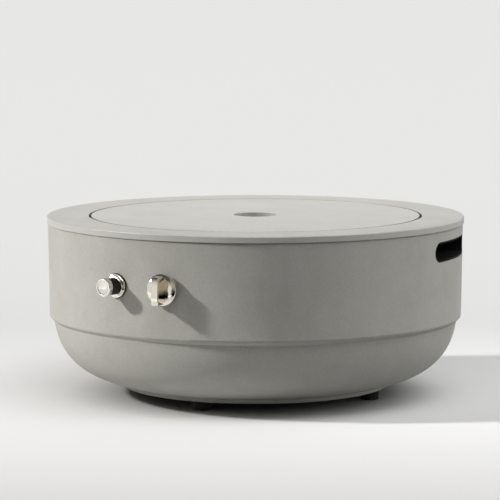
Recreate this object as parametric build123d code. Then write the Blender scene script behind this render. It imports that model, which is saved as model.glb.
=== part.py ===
from build123d import *
import os
from math import cos, pi, radians, sin, sqrt, tan

# A round fibre-cement fire pit for propane. Millimetres, +Z up, the origin on the floor
# under the bowl's axis, the front with its controls towards -Y. Angles round the bowl
# run in degrees from the front towards +X.

# Bowl and top ring
overall_height = 304.0
ring_radius = 355.5
ring_thickness = 10.5
ring_edge = 1.5
rim_gap = 0.4
ring_overhang = 1.9
wall_draft = 0.0124
wall_thickness = 13.0
wall_edge = 0.8
floor_thickness = 13.0
floor_blend = 35.0
step_height = 134.0
step_depth = 7.5
step_drop = 6.0
step_edge = 6.0
plinth_inset = 127.0
plinth_height = 7.0
upper_pull = 35.0
upper_lean = 0.165
lower_pull = 96.5
lower_rise = 0.165
vent_radius = 12.5
vent_circle = 110.0
vent_count = 4
drain_radius = 15.0
gasket_width = 8.0
gasket_recess = 3.5

# Lid and burner pan
ring_width = 71.5
lid_gap = 4.0
lid_thickness = 12.0
lid_edge = 0.6
finger_hole_radius = 37.0
pan_clearance = 4.0
pan_depth = 66.0
pan_sheet = 1.5
pan_corner = 9.0
pan_drain_radius = 4.0
pan_drain_inset = 51.0
pan_drain_count = 8
ledge_reach = 33.0
ledge_thickness = 10.0
ledge_width = 48.0

# Clips that hold the ring to the bowl
clip_width = 30.0
clip_leg = 30.0
clip_shelf = 28.0
clip_sheet = 2.0
clip_angles = (45.0, 135.0, 225.0, 315.0)
clip_screw_radius = 2.5
clip_screw_length = 9.0
screw_head_radius = 4.5
screw_head_height = 3.0

# Hand slots and their liners
slot_width = 198.0
slot_height = 34.0
slot_drop = 34.1
liner_sheet = 2.5
liner_depth = 60.0
liner_recess = 0.6

# Feet
foot_radius = 15.5
foot_height = 15.0
foot_inset = 1.0
foot_edge = 1.5
foot_turn = -7.5
foot_places = ("front", "right", "back", "left")
foot_screw_radius = 3.0
foot_screw_bite = 10.0
foot_head_radius = 6.0
foot_head_height = 3.5
foot_pocket = 7.0

# Burner
burner_circle = 125.0
burner_tube_radius = 9.5
ring_sides = 16
burner_wall = 1.5
burner_lift = 18.5
spoke_radius = 8.0
hub_radius = 16.0
hub_height = 30.0
stub_radius = 10.5
stub_wall = 2.5
stub_length = 32.0
port_radius = 1.6
port_count = 24
port_tilt = 45.0
burner_nut_across = 34.0
burner_nut_height = 8.0
mixer_radius = 14.0
mixer_length = 64.0
mixer_grip = 12.0
air_hole_radius = 5.0
air_hole_count = 4
jet_across = 22.0
jet_hex = 10.0
jet_tail = 10.0
jet_tail_radius = 6.5
jet_bore = 3.5
jet_orifice = 0.8

# Gas tubes
tube_radius = 4.0
tube_bore = 3.0
tube_nut_across = 16.0
tube_nut_length = 12.0
bend_share = 0.45
supply_lead_in = 70.0
supply_side = 110.0
supply_rear = 160.0
supply_front = 130.0
supply_rise = 62.0
feed_lead_in = 82.0
feed_drop_radius = 115.0
feed_share = 0.46

# Gas valve and knob
control_drop = 77.1
knob_angle = -7.5
push_travel = 4.0
valve_half_width = 15.0
valve_half_height = 17.0
valve_back_wall = 8.0
valve_washer = 2.0
valve_washer_radius = 14.0
bonnet_radius = 8.0
bonnet_grip = 8.0
bonnet_reach = 6.0
bonnet_nut_across = 22.0
bonnet_nut_height = 4.0
face_washer = 1.0
spindle_radius = 4.0
spindle_flat = 1.0
spindle_collar_radius = 6.5
spindle_collar = 2.0
spindle_in_knob = 12.0
tang_thickness = 2.8
tang_width = 7.0
tang_grip = 5.0
plug_radius = 8.0
plug_length = 20.0
plug_port = 2.5
plug_bypass = 0.8
plug_port_back = 6.0
valve_boss_radius = 8.0
valve_boss = 11.0
magnet_radius = 8.0
magnet_length = 22.0
sensor_nut_across = 10.0
sensor_nut_length = 10.0
knob_radius = 26.0
knob_rim = 5.0
knob_rise = 1.7
knob_edge = 1.2
knob_reach = 33.5
knob_bar_inset = 2.2
knob_bar_width = 13.4
knob_bar_corner = 3.0
knob_bar_taper = 1.2
knob_room_radius = 14.5

# Igniter
igniter_angle = -22.3
housing_radius = 13.8
housing_front = 28.0
housing_back = 36.0
thread_pitch = 2.0
thread_depth = 0.3
thread_count = 7
cap_radius = 14.9
cap_length = 8.5
cap_front = 34.5
cap_edge = 2.5
cap_face_radius = 10.5
cap_face_depth = 1.2
cap_plate = 2.0
cap_groove = 0.3
bezel_radius = 19.6
bezel_step_radius = 17.0
bezel_base = 3.0
bezel_step = 3.2
bezel_edge = 0.8
igniter_gasket = 1.5
igniter_gasket_radius = 20.2
igniter_nut_radius = 19.0
igniter_nut_height = 7.0
battery_radius = 7.25
battery_length = 50.5
battery_tip_radius = 2.75
battery_tip = 1.0
module_radius = 12.5
module_length = 22.0
terminal_length = 10.0
terminal_width = 4.8
terminal_sheet = 0.8
terminal_offset = 5.0

# Return springs, drawn at their pressed length
spring_wire = 0.6
spindle_spring_radius = 6.2
spindle_spring_length = 10.0
button_spring_radius = 5.0
button_spring_length = 8.0
spring_turns = 4

# Spark electrode and thermocouple
sensor_gap = 8.5
electrode_angle = igniter_angle
thermocouple_angle = 8.0
ceramic_radius = 4.0
ceramic_above = 17.0
ceramic_below = 18.0
electrode_wire = 1.2
electrode_rise = 11.0
electrode_lean = 8.0
probe_radius = 3.0
probe_above = 26.0
probe_below = 12.0
sensor_clip_width = 22.0
sensor_clip_depth = 20.0
sensor_clip_sheet = 1.5
lead_radius = 2.0
spark_first = 0.30
spark_second = 0.61
spark_fall = 30.0
spark_dip = 40.0
sensor_lead_radius = 1.25
sensor_lead_in = 32.0
sensor_first = 0.17
sensor_second = 0.58
sensor_swing = 4.7
sensor_fall = 20.0
sensor_dip = 44.0

# Gas inlet in the rear wall
inlet_angle = 180.0
inlet_rise = 22.0
inlet_washer = 1.5
inlet_washer_radius = 16.0
inlet_hex_across = 24.0
inlet_hex = 10.0
inlet_thread_radius = 7.9375
inlet_thread = 20.0
inlet_nose = 2.4
inlet_shank_radius = 9.0
inlet_shank = 30.0
inlet_nut_across = 27.0
inlet_nut_height = 6.5
inlet_bore = 3.5

# Clearances
hole_clearance = 0.3
thread_clearance = 0.1
running_clearance = 0.04
slide_clearance = 0.3
stop_clearance = 0.5

# Levels worked out from the sizes above
base_z = foot_height
plinth_z = base_z + plinth_height
floor_z = base_z + floor_thickness
step_z = step_height - step_drop
ring_under = overall_height - ring_thickness
rim_z = ring_under - rim_gap
lid_under = overall_height - lid_thickness
ledge_z = lid_under - pan_sheet
ledge_under = ledge_z - ledge_thickness
pan_under = lid_under - pan_depth
pan_floor = pan_under + pan_sheet
slot_level = rim_z - slot_drop
control_level = rim_z - control_drop
inlet_level = step_height + inlet_rise
seat_radius = ring_radius - ring_width
lid_radius = seat_radius - lid_gap
ledge_radius = seat_radius - ledge_reach
pan_radius = ledge_radius - pan_clearance
pan_drain_circle = pan_radius - pan_drain_inset
plinth_radius = ring_radius - plinth_inset
foot_circle = plinth_radius - foot_radius - foot_inset
sensor_circle = burner_circle + burner_tube_radius + ceramic_radius + sensor_gap
BOTTOM = (Align.CENTER, Align.CENTER, Align.MIN)


def wall_radius(height):
    """Outside radius of the drafted wall at a height above the floor."""
    return ring_radius - ring_overhang - wall_draft * (rim_z - height)


def around(radius, angle, height):
    """Point at a radius and an angle from the front, as a vector."""
    return Vector(radius * sin(radians(angle)), -radius * cos(radians(angle)), height)


def wall_frame(angle, height, radius=None):
    """Frame on the wall: z outwards, x to the right seen from outside, y up."""
    reach = wall_radius(height) if radius is None else radius
    across = (cos(radians(angle)), sin(radians(angle)), 0)
    return Plane(around(reach, angle, height), x_dir=across, z_dir=around(1, angle, 0))


def inner_seat(height, reach):
    """Where a flat disc seats on the inside of the wall, along the wall frame's z."""
    inside = wall_radius(height - reach) - wall_thickness
    return sqrt(inside**2 - reach**2) - wall_radius(height)


def outer_seat(height, reach):
    """Where a flat disc seats on the outside of the wall, along the wall frame's z."""
    return wall_radius(height + reach) - wall_radius(height)


def disc(radius, low, high):
    return Pos(0, 0, low) * Cylinder(radius, high - low, align=BOTTOM)


def sleeve(radius, bore, low, high):
    return disc(radius, low, high) - disc(bore, low, high)


def hexagon(across, low, high):
    return extrude(Pos(0, 0, low) * RegularPolygon(across / 2, 6, major_radius=False), high - low)


def turned(*corners):
    """Solid of revolution about Z from (radius, height, rounding) corners."""
    points = [(corner[0], 0, corner[1]) for corner in corners]
    roundings = [corner[2] if len(corner) > 2 else 0 for corner in corners]
    return revolve(make_face(FilletPolyline(*points, radius=roundings, close=True).edges()), Axis.Z)


def screw(radius, length, head_radius, head_height):
    """Screw along +Z with the underside of its head at the origin."""
    return disc(head_radius, -head_height, 0) + disc(radius, 0, length)


def ring_of(count, shape, start=0.0):
    """Copies of a shape turned evenly about the bowl's axis."""
    return [Rot(0, 0, start + 360 / count * i) * shape for i in range(count)]


def bend_radii(points):
    """Largest sensible bend at each corner of a tube's route."""
    radii = []
    for before, here, after in zip(points, points[1:], points[2:]):
        run_in = Vector(here) - Vector(before)
        run_out = Vector(after) - Vector(here)
        turn = radians(run_in.get_angle(run_out))
        radii.append(bend_share * min(run_in.length, run_out.length) / tan(turn / 2))
    return radii


def bent_rod(name, points, radius, bore=0.0):
    """Rod, or tube with a bore, along straight runs joined by tangent bends."""
    radii = bend_radii(points)
    route = FilletPolyline(*points, radius=radii)
    section = Circle(radius) - Circle(bore) if bore else Circle(radius)
    rod = sweep(Plane(route @ 0, z_dir=route % 0) * section, route)
    share = rod.volume / (pi * (radius**2 - bore**2) * route.length)
    print(name, "length", round(route.length, 1), "volume share", round(share, 4),
          "bends", [round(value, 1) for value in radii])
    return rod


def coil_spring(radius, length):
    """Round wire wound about Z from the origin upwards."""
    rise = length - 2 * spring_wire
    line = Helix(rise / spring_turns, rise, radius)
    wire = sweep(Plane(line @ 0, z_dir=line % 0) * Circle(spring_wire), line, is_frenet=True)
    return Pos(0, 0, spring_wire) * wire


# Bowl: outline points shared by the shell and the blank that trims what seats on it
lower_radius = wall_radius(step_height) - step_depth
outer_curve = [
    (lower_radius, 0, step_z),
    (lower_radius - upper_pull * upper_lean, 0, step_z - upper_pull),
    (plinth_radius + lower_pull, 0, plinth_z + lower_pull * lower_rise),
    (plinth_radius, 0, plinth_z),
]
outer_wall = [(wall_radius(step_height), 0, step_height), (wall_radius(rim_z), 0, rim_z)]


def bowl_blank():
    """The bowl's outside as one solid, with no hollow."""
    top = Polyline(outer_curve[0], *outer_wall, (0, 0, rim_z), (0, 0, base_z),
                   (plinth_radius, 0, base_z), outer_curve[-1])
    return revolve(make_face(top.edges() + Bezier(*outer_curve).edges()), Axis.Z)


def bowl_shell():
    """Cast shell with an even wall, a soft step, a flat floor and a rounded rim."""
    half = wall_thickness / 2
    inner_curve = [
        (lower_radius - wall_thickness, 0, step_z),
        (outer_curve[1][0] - wall_thickness, 0, outer_curve[1][2] + half),
        (outer_curve[2][0] - half, 0, outer_curve[2][2] + wall_thickness),
        (plinth_radius - floor_blend, 0, floor_z),
    ]
    inner_wall = [(radius - wall_thickness, 0, height) for radius, _, height in reversed(outer_wall)]
    wall = FilletPolyline(outer_curve[0], *outer_wall, *inner_wall, inner_curve[0],
                          radius=[step_edge, wall_edge, wall_edge, wall_edge])
    floor = FilletPolyline(inner_curve[-1], (0, 0, floor_z), (0, 0, base_z),
                           (plinth_radius, 0, base_z), outer_curve[-1], radius=[0, 0, wall_edge])
    edges = wall.edges() + Bezier(*inner_curve).edges() + floor.edges() + Bezier(*outer_curve).edges()
    return revolve(make_face(edges), Axis.Z)


def slot_prism(margin, inner, outer):
    """Stadium prism across the right hand slot, between two distances from the axis."""
    frame = Plane((inner, 0, slot_level), x_dir=(0, 1, 0), z_dir=(1, 0, 0))
    return extrude(frame * SlotOverall(slot_width - 2 * margin, slot_height - 2 * margin), outer - inner)


def ring_tube(radius):
    """Ring of the burner, rolled from a tube of many flats."""
    section = Plane.XZ * Pos(burner_circle, 0) * RegularPolygon(radius, ring_sides, major_radius=False)
    return revolve(section, Axis.Z)


# Frames of the controls, the inlet and the ring's clips
knob_frame = wall_frame(knob_angle, control_level).location
igniter_frame = wall_frame(igniter_angle, control_level).location
inlet_frame = wall_frame(inlet_angle, inlet_level).location
clip_low = ring_under - clip_leg
clip_plane = sqrt((wall_radius(clip_low) - wall_thickness - thread_clearance) ** 2 - (clip_width / 2) ** 2)
clip_frames = [wall_frame(angle, ring_under, clip_plane).location for angle in clip_angles]
clip_wall_screw = Pos(0, -clip_leg * 2 / 3, -clip_sheet)
clip_ring_screw = Pos(0, -clip_sheet, -clip_shelf * 2 / 3) * Rot(-90, 0, 0)
clip_hole = disc(clip_screw_radius + thread_clearance, 0, clip_screw_length + stop_clearance)
foot_spot = Pos(around(foot_circle, foot_turn, 0))
nodes = {}

# Bowl
through = 3 * wall_thickness
bowl = bowl_shell()
bowl -= slot_prism(0, slot_height, ring_radius)
bowl -= Rot(0, 0, 180) * slot_prism(0, slot_height, ring_radius)
bowl -= knob_frame * disc(bonnet_radius + hole_clearance, -through, through)
bowl -= igniter_frame * disc(housing_radius + hole_clearance, -through, through)
bowl -= inlet_frame * disc(inlet_shank_radius + hole_clearance, -through, through)
bowl -= disc(drain_radius, 0, floor_z + through)
vent = Pos(vent_circle, 0, 0) * disc(vent_radius, 0, floor_z + through)
bowl -= ring_of(vent_count, vent, 180 / vent_count)
foot_hole = disc(foot_screw_radius + thread_clearance, base_z, base_z + foot_screw_bite + stop_clearance)
bowl -= ring_of(len(foot_places), foot_spot * foot_hole)
bowl -= [frame * clip_wall_screw * clip_hole for frame in clip_frames]
nodes["bowl"] = bowl

# Top ring, with the ledge that carries the burner pan and the lid
top_ring = turned(
    (ledge_radius, ledge_z),
    (seat_radius, ledge_z),
    (seat_radius, overall_height, lid_edge),
    (ring_radius, overall_height, ring_edge),
    (ring_radius, ring_under, lid_edge),
    (ledge_radius + ledge_width, ring_under),
    (ledge_radius + ledge_width, ledge_under),
    (ledge_radius, ledge_under),
)
top_ring -= [frame * clip_ring_screw * clip_hole for frame in clip_frames]
nodes["top_ring"] = top_ring

# Foam strip that makes the dark joint between the bowl and the ring
gasket_outside = wall_radius(rim_z) - gasket_recess
nodes["rim_gasket"] = sleeve(gasket_outside, gasket_outside - gasket_width, rim_z, ring_under)

# Clips and their screws
clip = Box(clip_width, clip_leg, clip_sheet, align=(Align.CENTER, Align.MAX, Align.MAX))
clip += Box(clip_width, clip_sheet, clip_shelf, align=(Align.CENTER, Align.MAX, Align.MAX))
clip_bore = disc(clip_screw_radius + thread_clearance, -stop_clearance, clip_sheet + stop_clearance)
clip -= [clip_wall_screw * clip_bore, clip_ring_screw * clip_bore]
clip_screw = screw(clip_screw_radius, clip_screw_length, screw_head_radius, screw_head_height)
nodes["ring_clips"] = Compound([frame * clip for frame in clip_frames])
nodes["ring_clip_screws"] = Compound([
    frame * place * clip_screw for frame in clip_frames for place in (clip_wall_screw, clip_ring_screw)
])

# Lid with its finger hole
nodes["lid"] = turned(
    (finger_hole_radius, lid_under, lid_edge),
    (lid_radius, lid_under, lid_edge),
    (lid_radius, overall_height, lid_edge),
    (finger_hole_radius, overall_height, lid_edge),
)

# Burner pan hung on the ledge, with drain holes and holes for what passes through it
pan_inside = pan_radius - pan_sheet
pan = turned(
    (0, pan_under),
    (pan_radius, pan_under, pan_corner),
    (pan_radius, ledge_z),
    (seat_radius - pan_clearance, ledge_z),
    (seat_radius - pan_clearance, lid_under),
    (pan_inside, lid_under),
    (pan_inside, pan_floor, pan_corner - pan_sheet),
    (0, pan_floor),
)
electrode_spot = Pos(around(sensor_circle, electrode_angle, 0))
probe_spot = Pos(around(sensor_circle, thermocouple_angle, 0))
pan -= disc(stub_radius + hole_clearance, 0, lid_under)
pan_drain = Pos(pan_drain_circle, 0, 0) * disc(pan_drain_radius, 0, lid_under)
pan -= ring_of(pan_drain_count, pan_drain, 180 / pan_drain_count)
pan -= electrode_spot * disc(ceramic_radius + hole_clearance, 0, lid_under)
pan -= probe_spot * disc(probe_radius + hole_clearance, 0, lid_under)
nodes["burner_pan"] = pan

# Ring burner: hollow ring, two spokes, a hub that stands on the pan and a threaded stub below it
burner_z = pan_floor + burner_lift
hub_top = pan_floor + hub_height
stub_end = pan_floor - stub_length
spoke = Rot(0, 90, 0) * Cylinder(spoke_radius, 2 * burner_circle)
spoke_hollow = Rot(0, 90, 0) * Cylinder(spoke_radius - burner_wall, 2 * burner_circle)
burner = Pos(0, 0, burner_z) * (ring_tube(burner_tube_radius) + spoke)
burner += disc(hub_radius, pan_floor, hub_top)
burner += disc(stub_radius, stub_end, pan_floor)
burner -= Pos(0, 0, burner_z) * (ring_tube(burner_tube_radius - burner_wall) + spoke_hollow)
burner -= disc(stub_radius - stub_wall, stub_end, hub_top - burner_wall)
port = Pos(burner_circle, 0, burner_z) * Rot(0, port_tilt, 0) * disc(port_radius, 0, 2 * burner_tube_radius)
burner -= ring_of(port_count, port, 180 / port_count)
nodes["burner"] = burner
nodes["burner_nut"] = hexagon(burner_nut_across, pan_under - burner_nut_height, pan_under) - disc(
    stub_radius + thread_clearance, 0, pan_under)

# Air mixer screwed on the stub, and the gas jet in its lower end
mixer_top = stub_end + mixer_grip
mixer_end = mixer_top - mixer_length
air_hole = Pos(0, 0, mixer_end + 2 * mixer_grip) * Rot(0, 90, 0) * disc(air_hole_radius, 0, 2 * mixer_radius)
mixer = sleeve(mixer_radius, stub_radius + thread_clearance, mixer_end, mixer_top)
nodes["air_mixer"] = mixer - ring_of(air_hole_count, air_hole)
jet_end = mixer_end - jet_hex - jet_tail
jet = disc(stub_radius, mixer_end, mixer_end + mixer_grip)
jet += hexagon(jet_across, mixer_end - jet_hex, mixer_end)
jet += disc(jet_tail_radius, jet_end, mixer_end)
jet -= disc(jet_bore, jet_end, mixer_end + mixer_grip / 2)
jet -= disc(jet_orifice, jet_end, mixer_end + mixer_grip)
nodes["gas_jet"] = jet

# Gas valve, along the knob's frame: each level is a distance outwards from the wall's face
valve_seat = inner_seat(control_level, valve_washer_radius)
valve_front = valve_seat - valve_washer
bonnet_end = valve_front - bonnet_grip
collar_front = bonnet_end - slide_clearance
collar_back = collar_front - spindle_collar
plug_front = collar_back - push_travel - spindle_spring_length - stop_clearance
plug_back = plug_front - plug_length
port_level = plug_back + plug_port_back
tang_end = plug_front - tang_grip
slot_end = tang_end - push_travel - stop_clearance
valve_bore_end = plug_back - stop_clearance
valve_back = valve_bore_end - valve_back_wall
outlet_end = valve_back - valve_boss
inlet_drop = valve_half_height + valve_boss
bonnet_out = bonnet_reach
knob_back = push_travel + stop_clearance + face_washer
knob_ceiling = bonnet_out + push_travel + stop_clearance
spindle_front = knob_ceiling + spindle_in_knob

down = Rot(90, 0, 0)
right = Rot(0, 90, 0)
valve_center = (valve_front + valve_back) / 2
valve = Pos(0, 0, valve_center) * Box(2 * valve_half_width, 2 * valve_half_height, valve_front - valve_back)
valve += disc(valve_boss_radius, outlet_end, valve_back)
valve += Pos(0, 0, port_level) * down * disc(valve_boss_radius, 0, inlet_drop)
valve -= disc(plug_radius, valve_bore_end, bonnet_end)
valve -= disc(bonnet_radius + thread_clearance, bonnet_end, valve_front)
valve -= disc(plug_port, outlet_end, valve_bore_end)
valve -= Pos(0, 0, port_level) * down * disc(plug_port, 0, inlet_drop)
nodes["valve_body"] = knob_frame * valve
nodes["valve_washer"] = knob_frame * sleeve(
    valve_washer_radius, bonnet_radius + hole_clearance, valve_front, valve_seat)
bonnet = sleeve(bonnet_radius, spindle_radius + running_clearance, bonnet_end, bonnet_out)
nodes["valve_bonnet"] = knob_frame * bonnet
face_seat = outer_seat(control_level, valve_washer_radius)
face_front = face_seat + face_washer
nodes["valve_face_washer"] = knob_frame * sleeve(
    valve_washer_radius, bonnet_radius + hole_clearance, face_seat, face_front)
bonnet_nut = hexagon(bonnet_nut_across, face_front, face_front + bonnet_nut_height)
nodes["valve_nut"] = knob_frame * (bonnet_nut - disc(bonnet_radius + thread_clearance, 0, through))
magnet = Pos(valve_half_width, 0, port_level) * right * disc(magnet_radius, 0, magnet_length)
magnet_end = valve_half_width + magnet_length
nodes["safety_magnet"] = knob_frame * magnet
sensor_nut = Pos(magnet_end, 0, port_level) * right * (
    hexagon(sensor_nut_across, 0, sensor_nut_length)
    - disc(sensor_lead_radius + thread_clearance, 0, sensor_nut_length))
nodes["sensor_nut"] = knob_frame * sensor_nut

# Valve plug, which turns in the body, with its main port and its small bypass port
plug = disc(plug_radius - running_clearance, plug_back, plug_front)
slot_room = tang_thickness + 2 * slide_clearance
plug -= Pos(0, 0, (plug_front + slot_end) / 2) * Box(3 * plug_radius, slot_room, plug_front - slot_end)
plug -= disc(plug_port, plug_back, port_level)
plug -= Pos(0, 0, port_level) * Rot(0, -90, 0) * disc(plug_port, 0, 2 * plug_radius)
plug -= Pos(0, 0, port_level) * Rot(-90, 0, 0) * disc(plug_bypass, 0, 2 * plug_radius)
nodes["valve_plug"] = knob_frame * plug
spindle_spring = coil_spring(spindle_spring_radius, spindle_spring_length)
nodes["spindle_spring"] = knob_frame * Pos(0, 0, plug_front) * spindle_spring

# Spindle, which slides in the plug's slot and carries the knob on its flat
flat_box = Pos(0, spindle_radius - spindle_flat, knob_ceiling) * Box(
    4 * spindle_radius, 2 * spindle_radius, 2 * spindle_in_knob, align=(Align.CENTER, Align.MIN, Align.MIN))
spindle = disc(spindle_radius, collar_back, spindle_front) - flat_box
spindle += disc(spindle_collar_radius, collar_back, collar_front)
spindle += Pos(0, 0, (tang_end + collar_back) / 2) * Box(tang_width, tang_thickness, collar_back - tang_end)
nodes["spindle"] = knob_frame * spindle

# Knob: flat skirt that rises a little to the middle, and a bar grip with broad ends
knob_front = knob_back + knob_rim
knob = turned(
    (0, knob_back),
    (knob_radius, knob_back),
    (knob_radius, knob_front, knob_edge),
    (0, knob_front + knob_rise),
)
bar_plan = Rectangle(knob_bar_width, 2 * knob_radius) & Circle(knob_radius - knob_bar_inset)
bar_plan = fillet(bar_plan.vertices(), knob_bar_corner)
bar = extrude(Pos(0, 0, knob_back) * bar_plan, knob_reach - knob_back, taper=knob_bar_taper)
knob += fillet(bar.faces().sort_by(Axis.Z)[-1].edges(), knob_edge)
nut_room = face_front + bonnet_nut_height + push_travel + stop_clearance
knob -= disc(knob_room_radius, 0, nut_room)
knob -= disc(bonnet_radius + hole_clearance, 0, knob_ceiling)
knob_socket = disc(spindle_radius + thread_clearance, 0, spindle_front + stop_clearance)
knob -= knob_socket - Pos(0, thread_clearance, 0) * flat_box
nodes["knob"] = knob_frame * knob

# Igniter, along its own frame on the wall
gasket_bore = housing_radius + hole_clearance
gasket_blank = sleeve(igniter_gasket_radius, gasket_bore, -igniter_gasket_radius, igniter_gasket)
nodes["igniter_gasket"] = (igniter_frame * gasket_blank) - bowl_blank()
step_front = igniter_gasket + bezel_base + bezel_step
nodes["igniter_bezel"] = igniter_frame * turned(
    (housing_radius + thread_clearance, igniter_gasket),
    (bezel_radius, igniter_gasket),
    (bezel_radius, igniter_gasket + bezel_base, bezel_edge),
    (bezel_step_radius, igniter_gasket + bezel_base),
    (bezel_step_radius, step_front, bezel_edge),
    (housing_radius + thread_clearance, step_front),
)
thread_start = step_front + thread_pitch
crests = []
for turn in range(thread_count):
    crests.append((housing_radius, thread_start + turn * thread_pitch))
    crests.append((housing_radius - thread_depth, thread_start + (turn + 0.5) * thread_pitch))
bore_radius = battery_radius + hole_clearance
nodes["igniter_housing"] = igniter_frame * turned(
    (bore_radius, -housing_back),
    (housing_radius, -housing_back),
    *crests,
    (housing_radius, thread_start + thread_count * thread_pitch),
    (housing_radius, housing_front),
    (bore_radius, housing_front),
)
nut_seat = inner_seat(control_level, igniter_nut_radius)
nodes["igniter_nut"] = igniter_frame * sleeve(
    igniter_nut_radius, housing_radius + thread_clearance, nut_seat - igniter_nut_height, nut_seat)
cap_back = cap_front - cap_length
nodes["igniter_button"] = igniter_frame * turned(
    (housing_radius + slide_clearance, cap_back),
    (cap_radius, cap_back),
    (cap_radius, cap_back + cap_length / 4),
    (cap_radius - cap_groove, cap_back + cap_length / 4),
    (cap_radius - cap_groove, cap_back + cap_length / 3),
    (cap_radius, cap_back + cap_length / 3),
    (cap_radius, cap_front, cap_edge),
    (cap_face_radius, cap_front, cap_face_depth / 2),
    (cap_face_radius, cap_front - cap_face_depth),
    (0, cap_front - cap_face_depth),
    (0, cap_front - cap_plate),
    (housing_radius + slide_clearance, cap_front - cap_plate),
)
battery_end = cap_front - cap_plate - push_travel - stop_clearance - button_spring_length
battery_start = battery_end - battery_length
battery = disc(battery_radius, battery_start + battery_tip, battery_end)
nodes["battery"] = igniter_frame * (battery + disc(battery_tip_radius, battery_start, battery_end))
button_spring = coil_spring(button_spring_radius, button_spring_length)
nodes["button_spring"] = igniter_frame * Pos(0, 0, battery_end) * button_spring
module_back = -housing_back - module_length
module = disc(module_radius, module_back, -housing_back)
module += disc(bore_radius - thread_clearance, -housing_back, battery_start)
nodes["spark_module"] = igniter_frame * module
terminal_end = module_back - terminal_length
terminal = Box(terminal_width, terminal_sheet, terminal_length, align=BOTTOM)
nodes["igniter_terminals"] = Compound(
    [igniter_frame * Pos(0, side * terminal_offset, terminal_end) * terminal for side in (1, -1)])

# Spark electrode, thermocouple and the clips that hold them on the pan's floor
sensor_z = pan_floor + sensor_clip_sheet
ceramic_top = sensor_z + ceramic_above
ceramic_end = pan_under - ceramic_below
nodes["electrode_ceramic"] = electrode_spot * disc(ceramic_radius, ceramic_end, ceramic_top)
wire_route = [
    around(sensor_circle, electrode_angle, ceramic_top),
    around(sensor_circle, electrode_angle, ceramic_top + electrode_rise * 2 / 3),
    around(sensor_circle - electrode_lean, electrode_angle, ceramic_top + electrode_rise),
]
nodes["electrode_wire"] = bent_rod("electrode_wire", wire_route, electrode_wire)
probe_end = pan_under - probe_below
nodes["thermocouple"] = probe_spot * disc(probe_radius, probe_end, sensor_z + probe_above)


def sensor_clip(angle, bore):
    """Small plate on the pan's floor round a sensor's stem."""
    plate = Rot(0, 0, angle) * Box(sensor_clip_width, sensor_clip_depth, sensor_clip_sheet, align=BOTTOM)
    place = Pos(around(sensor_circle + ceramic_radius, angle, pan_floor))
    return place * plate - Pos(around(sensor_circle, angle, 0)) * disc(bore + thread_clearance, 0, lid_under)


nodes["electrode_clip"] = sensor_clip(electrode_angle, ceramic_radius)
nodes["thermocouple_clip"] = sensor_clip(thermocouple_angle, probe_radius)

# Gas inlet through the rear wall
inlet_face = outer_seat(inlet_level, inlet_washer_radius)
hex_back = inlet_face + inlet_washer
hex_front = hex_back + inlet_hex
thread_end = hex_front + inlet_thread
inlet = hexagon(inlet_hex_across, hex_back, hex_front)
inlet += disc(inlet_thread_radius, hex_front, thread_end)
inlet += turned((0, thread_end), (inlet_thread_radius - inlet_nose, thread_end),
                (inlet_bore + inlet_nose / 4, thread_end + inlet_nose), (0, thread_end + inlet_nose))
inlet += disc(inlet_shank_radius, -inlet_shank, hex_back)
inlet -= disc(inlet_bore, -inlet_shank, thread_end + inlet_nose)
nodes["inlet_fitting"] = inlet_frame * inlet
nodes["inlet_washer"] = inlet_frame * sleeve(
    inlet_washer_radius, inlet_shank_radius + hole_clearance, inlet_face, hex_back)
inlet_seat = inner_seat(inlet_level, inlet_nut_across / sqrt(3))
inlet_nut = hexagon(inlet_nut_across, inlet_seat - inlet_nut_height, inlet_seat)
inlet_nut -= disc(inlet_shank_radius + thread_clearance, -through, through)
nodes["inlet_nut"] = inlet_frame * inlet_nut

# Gas tubes: supply from the inlet to the valve, and feed from the valve to the jet
valve_reach = wall_radius(control_level)
valve_inlet = around(valve_reach + port_level, knob_angle, control_level - inlet_drop)
valve_outlet = around(valve_reach + outlet_end, knob_angle, control_level)
inlet_inside = around(wall_radius(inlet_level) - inlet_shank, inlet_angle, inlet_level)
supply_low = valve_inlet.Z - supply_rise
supply_fall = (inlet_level - supply_low) / 3
feed_low = floor_z + feed_share * (jet_end - floor_z)
supply_route = [
    inlet_inside,
    inlet_inside + Vector(0, -supply_lead_in, 0),
    Vector(-supply_side, supply_rear, inlet_level - supply_fall),
    Vector(-supply_side, -supply_front, inlet_level - 2 * supply_fall),
    Vector(valve_inlet.X, valve_inlet.Y, supply_low),
    valve_inlet,
]
feed_route = [
    valve_outlet,
    around(valve_reach + outlet_end - feed_lead_in, knob_angle, control_level),
    around(feed_drop_radius, knob_angle, feed_low),
    Vector(0, 0, feed_low),
    Vector(0, 0, jet_end),
]
nodes["supply_tube"] = bent_rod("supply_tube", supply_route, tube_radius, tube_bore)
nodes["feed_tube"] = bent_rod("feed_tube", feed_route, tube_radius, tube_bore)


def tube_nut(point, towards):
    """Hexagon nut on a tube, with one face against the fitting at a point."""
    frame = Plane(point, z_dir=Vector(towards) - Vector(point)).location
    nut = hexagon(tube_nut_across, 0, tube_nut_length)
    return frame * (nut - disc(tube_radius + thread_clearance, 0, tube_nut_length))


nodes["tube_nuts"] = Compound([
    tube_nut(route[end], route[next_one])
    for route in (supply_route, feed_route) for end, next_one in ((0, 1), (-1, -2))
])

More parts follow.
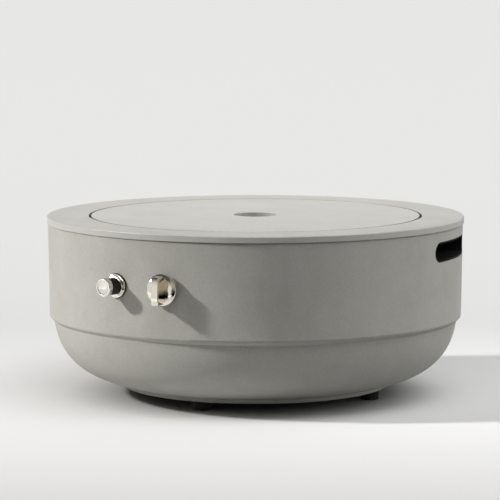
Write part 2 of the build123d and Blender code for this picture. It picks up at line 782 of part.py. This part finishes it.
# Leads: spark lead from a terminal to the electrode, sensor lead from the thermocouple to the magnet
terminal_level = control_level + terminal_offset
terminal_reach = wall_radius(control_level) + terminal_end
spark_run = terminal_reach - sensor_circle
spark_route = [
    around(terminal_reach, igniter_angle, terminal_level),
    around(terminal_reach - spark_first * spark_run, igniter_angle, terminal_level),
    around(terminal_reach - spark_second * spark_run, igniter_angle, control_level - spark_fall),
    around(sensor_circle, electrode_angle, ceramic_end - spark_dip),
    around(sensor_circle, electrode_angle, ceramic_end),
]
magnet_exit = knob_frame * Pos(magnet_end, 0, port_level)
magnet_point = Vector(magnet_exit.position)
magnet_across = Vector(cos(radians(knob_angle)), sin(radians(knob_angle)), 0)
magnet_reach = sqrt(magnet_point.X**2 + magnet_point.Y**2)
sensor_run = magnet_reach - sensor_circle
sensor_angle = thermocouple_angle + sensor_swing
sensor_route = [
    magnet_point,
    magnet_point + magnet_across * sensor_lead_in,
    around(magnet_reach - sensor_first * sensor_run, sensor_angle, control_level - sensor_fall),
    around(magnet_reach - sensor_second * sensor_run, sensor_angle, control_level - 2 * sensor_fall),
    around(sensor_circle, thermocouple_angle, probe_end - sensor_dip),
    around(sensor_circle, thermocouple_angle, probe_end),
]
nodes["spark_lead"] = bent_rod("spark_lead", spark_route, lead_radius)
nodes["sensor_lead"] = bent_rod("sensor_lead", sensor_route, sensor_lead_radius)

# Black liners in the hand slots, trimmed flush with the wall's outside
liner_back = wall_radius(slot_level) - liner_depth
liner = slot_prism(hole_clearance, liner_back, ring_radius)
liner -= slot_prism(hole_clearance + liner_sheet, liner_back + liner_sheet, ring_radius)
trim_low = slot_level - slot_height
trim_high = slot_level + slot_height
trim = turned(
    (0, trim_low),
    (wall_radius(trim_low) - liner_recess, trim_low),
    (wall_radius(trim_high) - liner_recess, trim_high),
    (0, trim_high),
)
liner = liner & trim
nodes["hand_liner_right"] = liner
nodes["hand_liner_left"] = Rot(0, 0, 180) * liner

# Feet and their screws
foot = turned(
    (foot_screw_radius + hole_clearance, foot_pocket),
    (foot_head_radius + foot_edge, foot_pocket),
    (foot_head_radius + foot_edge, 0),
    (foot_radius, 0, foot_edge),
    (foot_radius, foot_height, foot_edge),
    (foot_screw_radius + hole_clearance, foot_height),
)
for place, turned_foot in zip(foot_places, ring_of(len(foot_places), foot_spot * foot)):
    nodes["foot_" + place] = turned_foot
foot_screw = Pos(0, 0, foot_pocket) * screw(
    foot_screw_radius, foot_height - foot_pocket + foot_screw_bite, foot_head_radius, foot_head_height)
nodes["foot_screws"] = Compound(ring_of(len(foot_places), foot_spot * foot_screw))

os.makedirs("parts", exist_ok=True)
for name, shape in nodes.items():
    export_step(shape, f"parts/{name}.step")
print(len(nodes), "nodes written")
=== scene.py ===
import math

import bmesh
import bpy
from mathutils import Matrix, Vector


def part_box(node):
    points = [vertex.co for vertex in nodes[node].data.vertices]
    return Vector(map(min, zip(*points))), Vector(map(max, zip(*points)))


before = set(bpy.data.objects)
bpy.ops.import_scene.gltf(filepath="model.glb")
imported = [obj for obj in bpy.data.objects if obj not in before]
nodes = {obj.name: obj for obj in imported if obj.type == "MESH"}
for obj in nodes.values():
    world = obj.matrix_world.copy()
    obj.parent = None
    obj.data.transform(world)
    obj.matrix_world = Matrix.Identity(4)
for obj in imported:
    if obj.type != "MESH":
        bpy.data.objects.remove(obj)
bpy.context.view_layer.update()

# Bowl: one cast shell of fibre cement, thirteen millimetres thick, with a drafted wall, a step
# and a rounded belly. It comes out of its mould matt and pale grey, with sand grains, a few
# pinholes and faint clouds, and it is sealed but not polished.


class Field:
    """A shader socket that can be used in sums; each sum adds its own node."""

    def __init__(self, tree, socket=None):
        self.tree = tree
        self.socket = socket

    def node(self, kind, settings=None, sockets=None, out=0):
        """Any shader node: its settings first, then values or links for its sockets."""
        made = self.tree.nodes.new("ShaderNode" + kind)
        for key, value in (settings or {}).items():
            setattr(made, key, value)
        for key, value in (sockets or {}).items():
            if isinstance(value, Field):
                self.tree.links.new(value.socket, made.inputs[key])
            else:
                made.inputs[key].default_value = value
        return Field(self.tree, made.outputs[out])

    def math(self, operation, first, second=0.0):
        return self.node("Math", {"operation": operation}, {0: first, 1: second})

    def __add__(self, other):
        return self.math("ADD", self, other)

    def __sub__(self, other):
        return self.math("SUBTRACT", self, other)

    def __rsub__(self, other):
        return self.math("SUBTRACT", other, self)

    def __mul__(self, other):
        return self.math("MULTIPLY", self, other)

    __radd__ = __add__
    __rmul__ = __mul__

    def noise(self, scale, detail=2.0, rough=0.5):
        """Cloudy noise over these coordinates, from 0 to 1."""
        sockets = {"Vector": self, "Scale": scale, "Detail": detail, "Roughness": rough}
        return self.node("TexNoise", None, sockets)

    def cells(self, scale, out=0):
        """Distance to the nearest of scattered points, or that point's own colour."""
        return self.node("TexVoronoi", None, {"Vector": self, "Scale": scale}, out)

    def step(self, low, high):
        """Smooth rise from 0 to 1 as this value goes from low to high."""
        edges = {0: self, 1: low, 2: high}
        return self.node("MapRange", {"interpolation_type": "SMOOTHSTEP"}, edges)

    def tint(self, dark, light):
        """Colour between two shades, by this value. A shade is three numbers or a linked colour."""
        dark, light = (shade if isinstance(shade, Field) else (*shade, 1) for shade in (dark, light))
        return self.node("Mix", {"data_type": "RGBA"}, {0: self, 6: dark, 7: light}, 2)

    def part(self, axis):
        """One coordinate of a vector."""
        return self.node("SeparateXYZ", None, {0: self}, "XYZ".index(axis))

    def length(self):
        """Length of a vector."""
        return self.node("VectorMath", {"operation": "LENGTH"}, {0: self}, 1)

    def along(self, direction):
        """How far a vector reaches in a direction."""
        return self.node("VectorMath", {"operation": "DOT_PRODUCT"}, {0: self, 1: direction}, 1)


def finish(name, **constants):
    """New material, with its coordinates and functions that link its sockets and raise its surface."""
    material = bpy.data.materials.new(name)
    material.use_nodes = True
    tree = material.node_tree
    shader = tree.nodes["Principled BSDF"]
    for key, value in constants.items():
        shader.inputs[key.replace("_", " ")].default_value = value

    def link(**fields):
        for key, field in fields.items():
            tree.links.new(field.socket, shader.inputs[key.replace("_", " ")])

    def bump(height, depth, strength=1.0):
        raised = place.node("Bump", None, {"Height": height, "Distance": depth, "Strength": strength})
        link(Normal=raised)

    place = Field(tree).node("TexCoord", out=3)
    return material, place, link, bump


def cement(name, dark, light, grit, joint=None, top=None):
    """Cast fibre cement between two shades, with a share of sand grit. Painted shade darkens the upright
    face of a joint at a radius. Below a trowelled top the sides are painted paler as painted light, and
    sealer gathers on the edge."""
    material, place, link, bump = finish(name, IOR=1.45, Specular_IOR_Level=0.3, Coat_Roughness=0.42)
    clouds = place.noise(7.0, 4.0, 0.6)
    patches = place.noise(38.0, 3.0)
    grain = place.noise(430.0, 2.0, 0.6)
    sand = place.cells(520.0)
    pit_scale = 95.0
    pits = place.cells(pit_scale)
    lone = place.cells(pit_scale, 1).part("X").step(0.62, 0.66)
    pinhole_relief_and_shade = (1 - pits.step(0.035, 0.075)) * lone
    shade = 0.5 + 0.55 * (clouds - 0.5) + 0.30 * (patches - 0.5) + grit * (grain - 0.5)
    # The pinholes are darkened in colour as painted shade, and they are also sunk in the relief below.
    shade = shade + 0.35 * grit * (sand - 0.45) - 0.55 * pinhole_relief_and_shade
    rough = 0.70 + 0.22 * patches
    if top:
        depth = top - place.part("Z")
        # Painted light: the upright sides below the top are painted paler than the top.
        painted_side_light = depth.step(0.0010, 0.0022)
        edge = depth.step(0.0, 0.0001) * (1 - depth.step(0.0011, 0.0016))
        shade = shade + 0.5 * painted_side_light
        rough = rough - 0.45 * edge
        link(Coat_Weight=edge)
    colour = shade.step(-0.25, 1.25).tint(dark, light)
    if joint:
        flat = place.node("Mapping", None, {"Vector": place, "Scale": (1.0, 1.0, 0.0)})
        # Painted shade: the upright face of the joint is darkened where shade falls in the gap.
        painted_joint_shade = 1 - place.math("ABSOLUTE", flat.length() - joint).step(0.0002, 0.0004)
        colour = painted_joint_shade.tint(colour, (0.24, 0.235, 0.220))
    link(Base_Color=colour, Roughness=rough)
    bump(grain * 0.5 + sand * 0.35 - 1.6 * pinhole_relief_and_shade, 0.0005, 0.5)
    return material


def dress(material, *names):
    """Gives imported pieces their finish."""
    for name in names:
        for held in nodes[name].material_slots:
            held.material = material


dress(cement("cement", (0.355, 0.350, 0.320), (0.585, 0.578, 0.537), grit=0.6), "bowl")

# Top ring: cast apart from the bowl in the same cement, trowelled smoother, and set on the rim.
# It carries the burner pan and the lid on its inner ledge.
ring_dark = (0.375, 0.370, 0.345)
ring_light = (0.545, 0.538, 0.509)
ring_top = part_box("top_ring")[1][2]
lid_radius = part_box("lid")[1][0]
lid_gap = 0.004
smooth = cement("cement_ring", ring_dark, ring_light, grit=0.45, joint=lid_radius + lid_gap, top=ring_top)
dress(smooth, "top_ring")

# Rim gasket: a black strip of closed-cell foam between the bowl's rim and the ring, set back
# from the outside, so that the joint shows as a dark line.
foam, place, link, bump = finish("foam", Roughness=0.95)
pores = place.cells(700.0)
link(Base_Color=pores.step(0.1, 0.7).tint((0.006, 0.006, 0.006), (0.022, 0.021, 0.020)))
bump(pores, 0.0004, 0.6)
dress(foam, "rim_gasket")

# Lid: a flat disc of the same smooth cement that lies loose in the ring, with one round finger
# hole through its middle.
lid_dark = (0.405, 0.401, 0.377)
lid_light = (0.580, 0.574, 0.546)
dress(cement("cement_lid", lid_dark, lid_light, grit=0.60, joint=lid_radius), "lid")

# Hand-slot liners: thin moulded boxes of matt black plastic pushed into the slots in the sides,
# so that a hand finds a clean edge and no way in to the gas parts.


def mottled(name, pieces, noise, shades, rough, relief, contrast=None, **constants):
    """Gives pieces a finish whose shade, roughness and relief all follow one noise. Roughness is its least
    value and its spread, and relief its height in metres and its strength."""
    material, place, link, bump = finish(name, **constants)
    mottle = place.noise(*noise)
    blend = mottle.step(*contrast) if contrast else mottle
    least, spread = rough
    link(Base_Color=blend.tint(*shades), Roughness=least + spread * mottle)
    bump(mottle, *relief)
    dress(material, *pieces)


mottled(
    "liner_black",
    ["hand_liner_right", "hand_liner_left"],
    noise=(1500.0, 2.0),
    shades=((0.0025, 0.0025, 0.0025), (0.006, 0.006, 0.006)),
    rough=(0.72, 0.2),
    relief=(0.0002, 0.4),
    Specular_IOR_Level=0.25,
)

# Feet: four round pads of black moulded rubber under the plinth, each held by one screw. The
# igniter's gasket and the inlet's washer are cut from the same rubber.
mottled(
    "foot_rubber",
    ["foot_front", "foot_right", "foot_back", "foot_left", "igniter_gasket", "inlet_washer"],
    noise=(160.0, 4.0, 0.65),
    contrast=(0.35, 0.75),
    shades=((0.010, 0.010, 0.010), (0.030, 0.029, 0.028)),
    rough=(0.62, 0.3),
    relief=(0.0003, 0.4),
    Specular_IOR_Level=0.3,
)

# Burner pan and burner: pressed and rolled stainless steel, brushed round its axis. The pan hangs
# on the ring's ledge, and the burner's hub stands on its floor with a nut below. The mixer, the
# sensor's tip, the electrode's wire and their clips are of the same steel.
steel, place, link, bump = finish("stainless", Metallic=1.0)
brushing = place.node("Mapping", None, {"Vector": place, "Scale": (1.0, 1.0, 30.0)})
brushed = brushing.noise(60.0, 5.0, 0.7)
stain = place.noise(14.0, 4.0, 0.6)
link(Base_Color=stain.step(0.3, 0.8).tint((0.46, 0.45, 0.43), (0.60, 0.59, 0.57)))
link(Roughness=0.24 + 0.14 * brushed + 0.10 * stain)
bump(brushed, 0.00015, 0.35)
dress(steel, "burner_pan", "burner", "burner_nut", "air_mixer", "electrode_wire", "thermocouple")
dress(steel, "electrode_clip", "thermocouple_clip")

# Screws, clips, washers, springs and the spindle: mild steel with a bright zinc plate, slightly
# clouded, as it leaves the plating bath.
fixings = ["ring_clips", "ring_clip_screws", "foot_screws", "valve_washer", "valve_face_washer"]
mottled(
    "zinc",
    fixings + ["spindle", "spindle_spring", "button_spring", "igniter_terminals"],
    noise=(220.0, 4.0, 0.6),
    shades=((0.44, 0.45, 0.46), (0.66, 0.67, 0.68)),
    rough=(0.26, 0.22),
    relief=(0.0001, 0.3),
    Metallic=1.0,
)

# Gas train: valve, jet, inlet fitting and tube nuts turned and forged in brass, with tool marks
# and a slight tarnish.
brass, place, link, bump = finish("brass", Metallic=1.0)
tarnish = place.noise(90.0, 4.0, 0.6)
turning = place.noise(900.0, 2.0)
link(Base_Color=tarnish.step(0.25, 0.8).tint((0.42, 0.29, 0.12), (0.74, 0.56, 0.27)))
link(Roughness=0.22 + 0.18 * tarnish + 0.10 * turning)
bump(turning, 0.0001, 0.3)
dress(brass, "valve_body", "valve_bonnet", "valve_nut", "valve_plug", "safety_magnet", "sensor_nut")
dress(brass, "gas_jet", "inlet_fitting", "inlet_nut", "tube_nuts")

# Gas tubes: drawn aluminium tube, bent to shape, with fine draw lines and dull patches. One runs
# from the inlet to the valve, and one from the valve to the jet.
mottled(
    "tube_metal",
    ["supply_tube", "feed_tube"],
    noise=(300.0, 4.0, 0.7),
    shades=((0.58, 0.58, 0.58), (0.76, 0.76, 0.77)),
    rough=(0.30, 0.2),
    relief=(0.0001, 0.25),
    Metallic=1.0,
)

# Leads: the sensor's bare copper capillary and the spark lead in its red silicone jacket, each
# run from its tip in the pan down to the controls.
mottled(
    "copper_lead",
    ["sensor_lead"],
    noise=(120.0, 4.0, 0.6),
    shades=((0.36, 0.17, 0.09), (0.74, 0.42, 0.27)),
    rough=(0.28, 0.2),
    relief=(0.0001, 0.25),
    Metallic=1.0,
)
mottled(
    "lead_jacket",
    ["spark_lead"],
    noise=(500.0, 3.0),
    shades=((0.26, 0.030, 0.024), (0.40, 0.055, 0.045)),
    rough=(0.45, 0.2),
    relief=(0.0001, 0.3),
    Specular_IOR_Level=0.4,
)

# Spark electrode: a stem of white ceramic, pressed, fired and glazed, that holds the wire away
# from the steel.
mottled(
    "ceramic",
    ["electrode_ceramic"],
    noise=(180.0, 3.0),
    shades=((0.74, 0.72, 0.67), (0.88, 0.87, 0.83)),
    rough=(0.25, 0.15),
    relief=(0.0001, 0.2),
    Coat_Weight=0.5,
    Coat_Roughness=0.1,
)

# Igniter: a black moulded body that screws into the wall from outside, with its lock nut and its
# spark module behind, and a battery in a plain dark sleeve.
mottled(
    "black_plastic",
    ["igniter_housing", "igniter_nut", "spark_module"],
    noise=(900.0, 2.0),
    shades=((0.006, 0.006, 0.006), (0.010, 0.009, 0.008)),
    rough=(0.22, 0.2),
    relief=(0.0001, 0.3),
    Specular_IOR_Level=0.25,
)
mottled(
    "battery_sleeve",
    ["battery"],
    noise=(260.0, 3.0),
    shades=((0.070, 0.070, 0.075), (0.12, 0.12, 0.13)),
    rough=(0.30, 0.15),
    relief=(0.0001, 0.2),
    Specular_IOR_Level=0.5,
)

# Knob, igniter button and bezel: zinc castings, polished on a wheel and plated. Polishing dishes the
# button's face, rounds the knob off towards its rim and crowns the flats, so that they mirror the room
# unevenly. The button and the bezel have bright chrome, and the knob has a warmer nickel plate.


def plated(piece, name, dark, light, dish=0.0, droop=0.0, crown=0.0):
    """Bright plate between two tones on a casting whose axis meets the bowl's. The heights, in metres, say
    how far its face is dished, how far its rim droops and how far it is crowned from top to bottom."""
    material, place, link, bump = finish(name, Metallic=1.0)
    low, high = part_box(piece)
    middle = (Vector(low) + Vector(high)) / 2
    outward = Vector((middle.x, middle.y, 0)).normalized()
    radius = (high[2] - low[2]) / 2
    offset = place.node("VectorMath", {"operation": "SUBTRACT"}, {0: place, 1: middle})
    across = place.node("VectorMath", {"operation": "CROSS_PRODUCT"}, {0: offset, 1: outward})
    share = across.length() * (1 / radius)
    lift = offset.part("Z") * (1 / radius) + 0.8
    smear = place.noise(70.0, 4.0, 0.6)
    ripple = place.noise(190.0, 2.0)
    link(Base_Color=smear.tint(dark, light), Roughness=0.04 + 0.06 * smear)
    rounding = dish * share * share - droop * place.math("POWER", share, 6.0) - crown * lift * lift
    bump(rounding + 0.00012 * ripple, 1.0)
    dress(material, piece)


plated("igniter_button", "chrome_button", (0.80, 0.77, 0.70), (0.90, 0.87, 0.81), dish=0.0036)
plated("igniter_bezel", "chrome_bezel", (0.78, 0.75, 0.68), (0.88, 0.85, 0.79), crown=0.0030)
plated("knob", "nickel_knob", (0.79, 0.74, 0.64), (0.89, 0.85, 0.76), droop=0.0014, crown=0.0028)

# Stage: a pale paper floor, one fairly hard lamp from the left, a soft grey room, and a dark flag of
# cloth round the camera that keeps the front in shade. The flag's upper part glows in gloss alone, and
# the floor and the room show another shade than the light that they give.
black = (0, 0, 0)
white = (1, 1, 1)
eye_turn = math.radians(17)
to_right = Vector((math.cos(eye_turn), math.sin(eye_turn), 0))
to_eye = Vector((to_right.y, -to_right.x, 0))
upward = Vector((0, 0, 1))


def stand(name, shape, material):
    """Puts a shape of the stage into the scene, turned to face the camera."""
    shape.transform(Matrix.Rotation(eye_turn, 4, "Z"))
    mesh = bpy.data.meshes.new(name)
    shape.to_mesh(mesh)
    shape.free()
    mesh.materials.append(material)
    made = bpy.data.objects.new(name, mesh)
    bpy.context.scene.collection.objects.link(made)
    return made


def seen(room):
    """One for rays that the camera sees straight, in gloss or through glass, and else nought."""
    straight = room.node("LightPath", out="Is Camera Ray")
    gloss = room.node("LightPath", out="Is Glossy Ray")
    glass = room.node("LightPath", out="Is Transmission Ray")
    return (straight + gloss + glass).step(0.0, 1.0)


floor_reach = 40
paper, place, link, bump = finish("floor_paper", Roughness=0.9, Specular_IOR_Level=0.1)
# Painted shadow: the floor is darker under and round the bowl, both as shown and in the light it gives back.
painted_shadow_under = 1 - place.length().step(0.16, 0.34)
away = place.along(-to_eye)
behind = away.step(-0.2, 0.9)
# Painted light: the floor gives back more light on its sunlit left side than on its right and front.
painted_light_side = place.along(-0.7 * to_right - 0.7 * to_eye).step(-0.60, -0.05)
bounce = (0.17 + 0.50 * painted_light_side - 0.18 * painted_shadow_under) * away.step(-1.1, -0.9)
visible = 0.81 - 0.55 * painted_shadow_under - 0.24 * behind
shown = seen(place)
link(Base_Color=(shown * visible + (1 - shown) * bounce).tint(black, white))
sheet = bmesh.new()
bmesh.ops.create_grid(sheet, x_segments=1, y_segments=1, size=floor_reach)
stand("floor", sheet, paper)

flag_radius = 2.4
flag_foot = math.radians(-25)
flag_rise = math.radians(73)
flag_left = math.radians(-35)
flag_sweep = math.radians(80)
cloth, place, link, bump = finish("flag_cloth", Roughness=1.0, Specular_IOR_Level=0.0, Emission_Strength=1.0)
link(Base_Color=place.noise(40.0, 2.0).tint((0.004, 0.004, 0.004), (0.010, 0.010, 0.010)))
glow = seen(place) * place.part("Z").step(0.30, 1.10)
link(Emission_Color=glow.tint(black, (0.41, 0.37, 0.31)))
flag = bmesh.new()
hem = flag_radius * Vector((0, -math.cos(flag_foot), math.sin(flag_foot)))
corner = bmesh.ops.create_vert(flag, co=hem)
bmesh.ops.spin(flag, geom=corner["vert"], axis=(1, 0, 0), angle=-flag_rise, steps=12)
bmesh.ops.rotate(flag, verts=flag.verts, matrix=Matrix.Rotation(flag_left, 3, "Z"))
bmesh.ops.spin(flag, geom=flag.verts[:] + flag.edges[:], axis=(0, 0, 1), angle=flag_sweep, steps=14)
stand("flag", flag, cloth).visible_camera = False

lamp = bpy.data.lights.new("key", "SUN")
lamp.energy = 2.75
lamp.angle = math.radians(5)
lamp.color = (1.0, 0.985, 0.955)
to_lamp = -0.85 * to_right + 0.09 * to_eye + 0.522 * upward
key = bpy.data.objects.new("key", lamp)
key.rotation_mode = "QUATERNION"
key.rotation_quaternion = to_lamp.to_track_quat("Z", "Y")
bpy.context.scene.collection.objects.link(key)

world = bpy.data.worlds.new("room")
world.use_nodes = True
bpy.context.scene.world = world
room = Field(world.node_tree)
facing = room.node("TexCoord", out=0)


def lobe(right, front, top, edge):
    """Soft patch of light in the room round a direction, which fades out where its cosine is edge."""
    middle = (right * to_right + front * to_eye + top * upward).normalized()
    return facing.along(middle).step(edge, 1.0)


side_light = lobe(right=0.8, front=0.1, top=0.6, edge=0.35)
front_light = lobe(right=0.25, front=0.65, top=0.72, edge=0.50)
light = 0.15 + side_light + 1.75 * front_light
ceiling = facing.part("Z").step(0.30, 0.62)
shown = seen(room)
level = shown * (0.80 - 0.72 * ceiling) + (1 - shown) * light
background = world.node_tree.nodes["Background"]
world.node_tree.links.new(level.socket, background.inputs["Color"])
bpy.context.scene.view_settings.view_transform = "Standard"

# Camera: a long lens nearly five metres away, a little above the rim and to the right, at the
# photograph's height and angle.
eye = bpy.data.cameras.new("camera")
eye.lens = 200.49
eye.sensor_width = 36
eye.clip_end = 200
camera = bpy.data.objects.new("camera", eye)
camera.location = (1.3834, -4.5251, 0.7810)
camera.rotation_euler = (math.radians(90 - 6.489), 0, math.radians(17.110))
bpy.context.scene.collection.objects.link(camera)
bpy.context.scene.camera = camera
